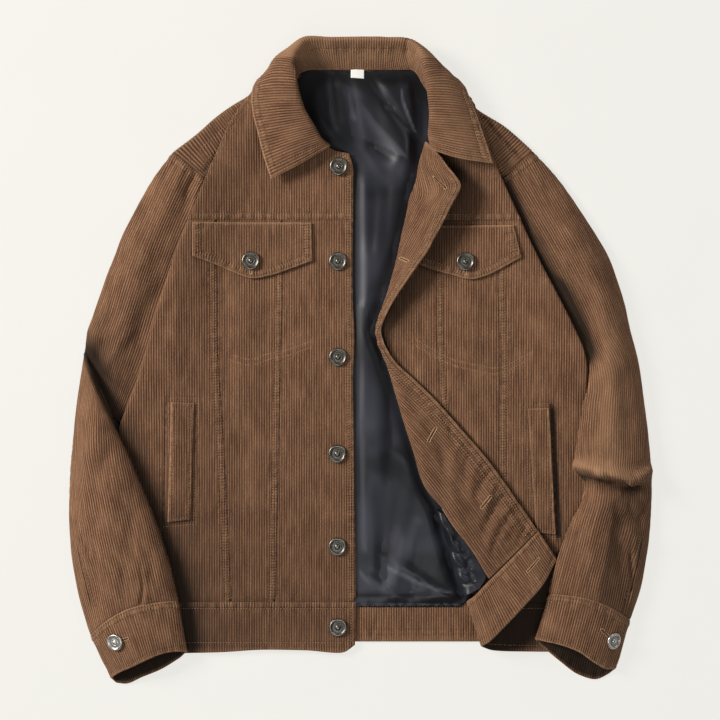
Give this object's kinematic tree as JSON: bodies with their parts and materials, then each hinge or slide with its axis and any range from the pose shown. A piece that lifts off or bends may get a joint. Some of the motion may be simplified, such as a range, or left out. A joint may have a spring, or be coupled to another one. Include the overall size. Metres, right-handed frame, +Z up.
{
  "type": "corduroy jacket",
  "caption": "Button-front corduroy jacket with chest flap pockets, point collar and cuffs, lying flat on its back with one front folded open on its satin lining.",
  "frame": {"origin": "centre of the jacket's bounding box on the surface it lies on", "axes": "+Z up from the surface, +Y from the hem to the collar, +X from the front that lies closed to the front that is folded open"},
  "size_m": [0.631, 0.7034, 0.0381],
  "materials": {
    "corduroy": "brown cotton corduroy, wales about 2.7 mm apart",
    "satin_lining": "black satin, soft sheen",
    "label": "plain white woven label",
    "dark_nickel": "dark nickel-plated shank button",
    "bright_nickel": "bright nickel-plated shank button"
  },
  "bodies": {
    "root": {"back_panel": "corduroy", "back_yoke": "corduroy", "hem_band_back": "corduroy", "back_lining": "satin_lining", "neck_label": "label", "front_side_left": "corduroy", "front_middle_left": "corduroy", "front_centre_left": "corduroy", "front_yoke_left": "corduroy", "hem_band_left": "corduroy", "flap_left": "corduroy", "welt_left": "corduroy", "front_centre_right": "corduroy", "front_middle_right": "corduroy", "front_side_right": "corduroy", "front_yoke_right": "corduroy", "flap_right": "corduroy", "welt_right": "corduroy", "facing_right": "corduroy", "front_lining_right": "satin_lining", "hem_band_right": "corduroy", "top_sleeve_left": "corduroy", "under_sleeve_left": "corduroy", "top_sleeve_right": "corduroy", "under_sleeve_right": "corduroy", "cuff_left": "corduroy", "cuff_right": "corduroy", "collar": "corduroy", "button_1": "dark_nickel", "button_2": "dark_nickel", "button_3": "dark_nickel", "button_4": "dark_nickel", "button_5": "dark_nickel", "button_6": "dark_nickel", "flap_button_left": "dark_nickel", "flap_button_right": "dark_nickel", "cuff_button_left": "bright_nickel", "cuff_button_right": "bright_nickel"}
  },
  "joints": []
}
